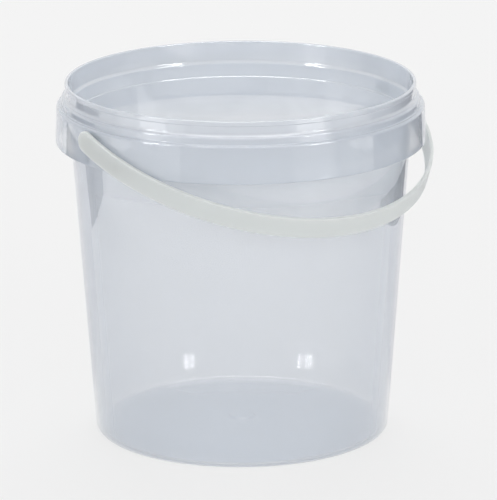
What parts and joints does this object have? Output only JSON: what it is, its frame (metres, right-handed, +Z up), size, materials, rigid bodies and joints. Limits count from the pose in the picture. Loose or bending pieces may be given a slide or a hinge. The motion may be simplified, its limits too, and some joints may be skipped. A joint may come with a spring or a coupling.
{
  "type": "plastic bucket",
  "caption": "Clear tapered plastic pail with a stepped lid rim and ribbed skirt, and a white strap handle that swings on snap studs.",
  "frame": {"origin": "centre of the base, on the surface that the tub stands on", "axes": "+Z up along the tub's axis; X along the handle's pivot axis; the handle is lowered towards -Y"},
  "size_m": [0.136, 0.1348, 0.128],
  "materials": {
    "clear_plastic": "clear, smooth moulded gloss",
    "white_plastic": "satin moulded"
  },
  "bodies": {
    "tub": {"tub": "clear_plastic"},
    "handle": {"handle": "white_plastic"}
  },
  "joints": [
    {"name": "handle_swing", "type": "hinge", "parent": "tub", "child": "handle", "pos_m": [0, 0, 0.1156], "axis": [-1, 0, 0], "range_deg": [0, 222.8]}
  ]
}
